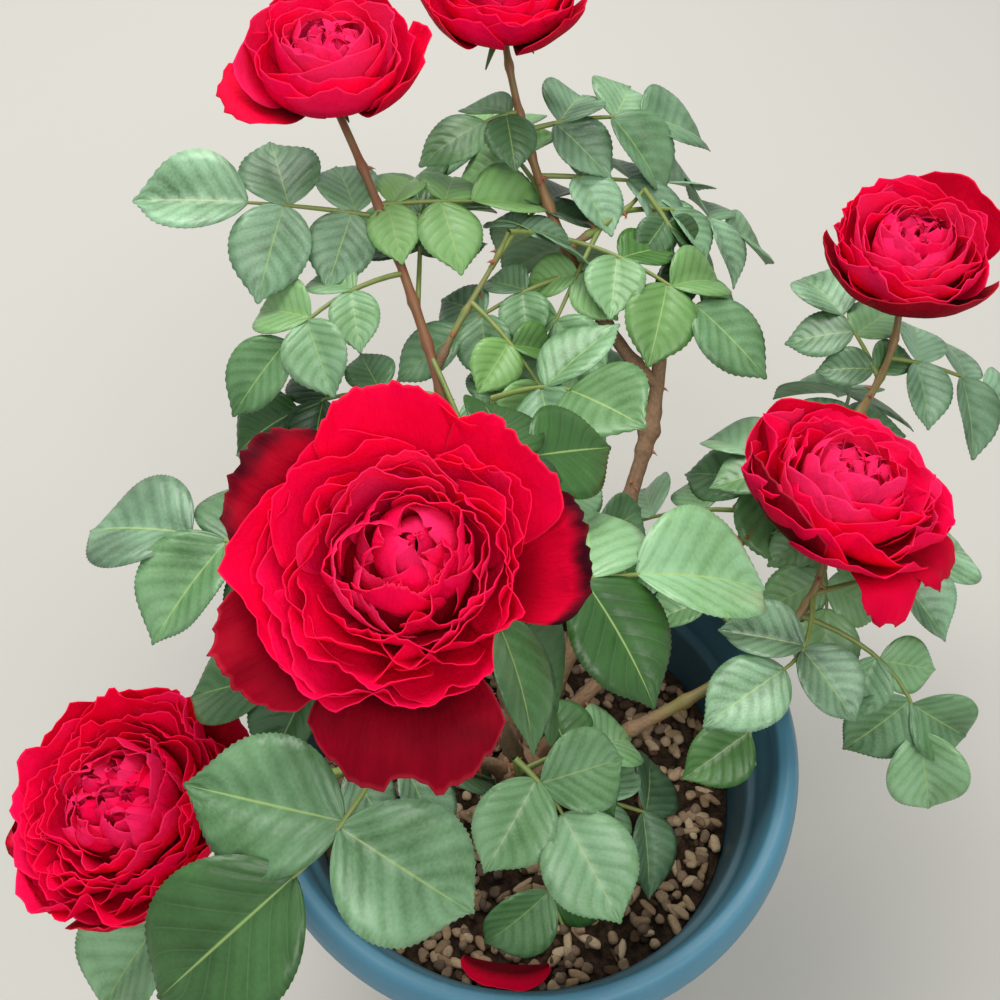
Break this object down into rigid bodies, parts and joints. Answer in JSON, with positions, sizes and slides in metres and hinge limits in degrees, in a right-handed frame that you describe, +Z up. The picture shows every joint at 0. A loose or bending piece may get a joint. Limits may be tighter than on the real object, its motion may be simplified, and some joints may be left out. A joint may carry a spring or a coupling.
{
  "type": "rose bush in a pot",
  "caption": "Rose bush with large double red blooms on leafy canes, growing in a round teal plastic pot.",
  "frame": {"origin": "middle of the pot's flat underside", "axes": "+Z up, -Y towards the side that the picture looks from, +X to that view's right"},
  "size_m": [0.5227, 0.5351, 0.5108],
  "materials": {
    "pot_plastic": "satin, moulded",
    "potting_mix": "loose bark and granules, matt",
    "bark": "rough bark",
    "leaf": "satin leaf",
    "petal": "velvety petal"
  },
  "bodies": {
    "root": {"bloom_left": "petal", "bloom_main": "petal", "bloom_right": "petal", "bloom_top": "petal", "bloom_upper_left": "petal", "bloom_upper_right": "petal", "cane_behind": "bark", "cane_front": "bark", "cane_left": "bark", "cane_main": "bark", "cane_middle": "bark", "cane_old": "bark", "cane_right": "bark", "cane_side": "bark", "cane_top": "bark", "cane_upper_left": "bark", "cane_upper_right": "bark", "fallen_petal": "petal", "pot": "pot_plastic", "potting_mix": "potting_mix", "shoot_behind": "leaf", "shoot_front": "leaf", "shoot_left": "leaf", "shoot_main": "leaf", "shoot_middle": "leaf", "shoot_right": "leaf", "shoot_side": "leaf", "shoot_top": "leaf", "shoot_upper_left": "leaf", "shoot_upper_right": "leaf", "stump": "bark"}
  },
  "joints": []
}
